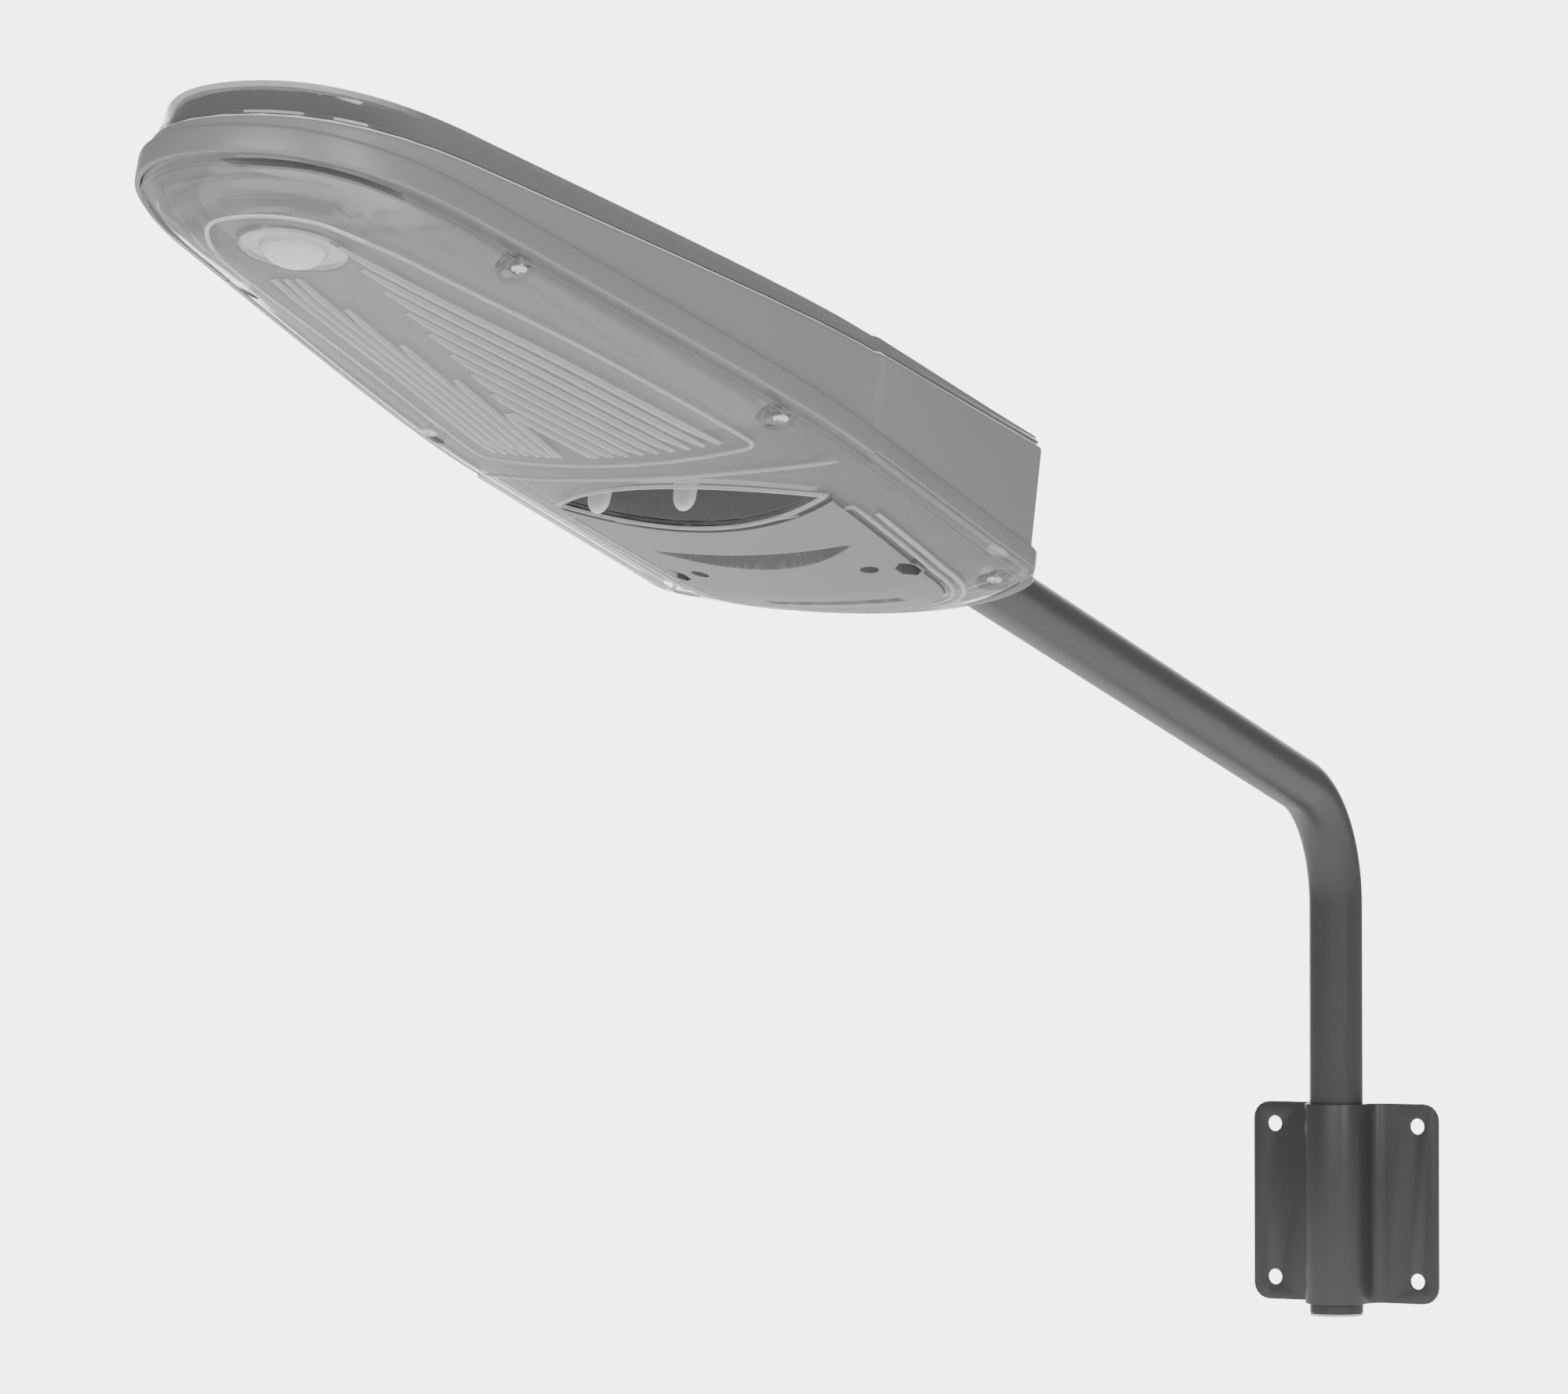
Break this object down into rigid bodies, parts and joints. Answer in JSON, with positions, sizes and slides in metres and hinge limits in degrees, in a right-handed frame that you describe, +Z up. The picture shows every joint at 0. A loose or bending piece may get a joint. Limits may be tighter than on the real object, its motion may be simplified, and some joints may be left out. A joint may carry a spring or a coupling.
{
  "type": "solar street lamp",
  "caption": "Solar street lamp on a bent wall arm: leaf-shaped head with a clear lens, motion sensor, battery bay and a solar panel on top.",
  "frame": {"origin": "centre of the bracket's back, on the wall plane", "axes": "+Z up along the bracket's channel, +Y into the wall, -Y out along the arm, +X to the right for someone facing the wall"},
  "size_m": [0.222, 1.2296, 0.6077],
  "materials": {
    "powder_coat": "satin powder coat",
    "silver_housing": "satin silver-grey",
    "grey_plastic": "fine satin",
    "clear_plastic": "clear polycarbonate",
    "pale_plastic": "smooth",
    "dark_plastic": "matt",
    "frosted_silicone": "frosted",
    "black_rubber": "matt",
    "white_board": "solder mask",
    "green_board": "solder mask",
    "zinc_steel": "bright zinc plate",
    "cell_sleeve": "shrink sleeve",
    "solar_laminate": "laminated cells",
    "red_lead": "insulation",
    "black_lead": "insulation"
  },
  "bodies": {
    "bracket_arm": {"bracket_plate": "powder_coat", "arm_tube": "powder_coat", "tube_end_plug": "pale_plastic"},
    "head": {"housing": "silver_housing", "top_cover": "clear_plastic", "top_cover_seal": "black_rubber", "panel_frame": "dark_plastic", "solar_panel": "solar_laminate", "lens_seal": "black_rubber", "lens_cover": "clear_plastic", "lens_screw_1": "zinc_steel", "lens_screw_2": "zinc_steel", "lens_screw_3": "zinc_steel", "lens_screw_4": "zinc_steel", "lens_screw_5": "zinc_steel", "lens_screw_6": "zinc_steel", "reflector_tray": "pale_plastic", "led_board_left": "white_board", "led_board_right": "white_board", "sensor_dome": "pale_plastic", "sensor_can": "zinc_steel", "sensor_board": "green_board", "eye_cup": "dark_plastic", "switch_board": "green_board", "cover_seal": "black_rubber", "battery_tray": "dark_plastic", "battery_cell_1": "cell_sleeve", "battery_cell_2": "cell_sleeve", "battery_cell_3": "cell_sleeve", "battery_cell_4": "cell_sleeve", "contact_spring_1": "zinc_steel", "contact_spring_2": "zinc_steel", "contact_spring_3": "zinc_steel", "contact_spring_4": "zinc_steel", "contact_plate_front": "zinc_steel", "contact_plate_rear": "zinc_steel", "control_board": "green_board", "clamp_upper": "zinc_steel", "clamp_lower": "zinc_steel", "clamp_screw_1": "zinc_steel", "clamp_screw_2": "zinc_steel", "tube_grommet": "black_rubber", "light_lead": "red_lead", "battery_lead": "red_lead", "panel_lead": "black_lead"},
    "battery_door": {"battery_cover": "grey_plastic", "cover_screw_1": "zinc_steel", "cover_screw_2": "zinc_steel"},
    "left_switch": {"switch_lever_1": "frosted_silicone"},
    "right_switch": {"switch_lever_2": "frosted_silicone"}
  },
  "joints": [
    {"name": "head_roll", "type": "hinge", "parent": "bracket_arm", "child": "head", "pos_m": [0, -0.59096, 0.38042], "axis": [0, -0.9707, 0.2402], "range_deg": [-15, 15]},
    {"name": "battery_cover_lift", "type": "slide", "parent": "head", "child": "battery_door", "axis": [0, -0.2622, -0.965], "range_m": [0, 0.06]},
    {"name": "left_switch_tilt", "type": "hinge", "parent": "head", "child": "left_switch", "pos_m": [-0.05, -0.80869, 0.40289], "axis": [1, 0, 0], "range_deg": [-10, 10]},
    {"name": "right_switch_tilt", "type": "hinge", "parent": "head", "child": "right_switch", "pos_m": [-0.002, -0.80869, 0.40289], "axis": [1, 0, 0], "range_deg": [-10, 10]}
  ]
}
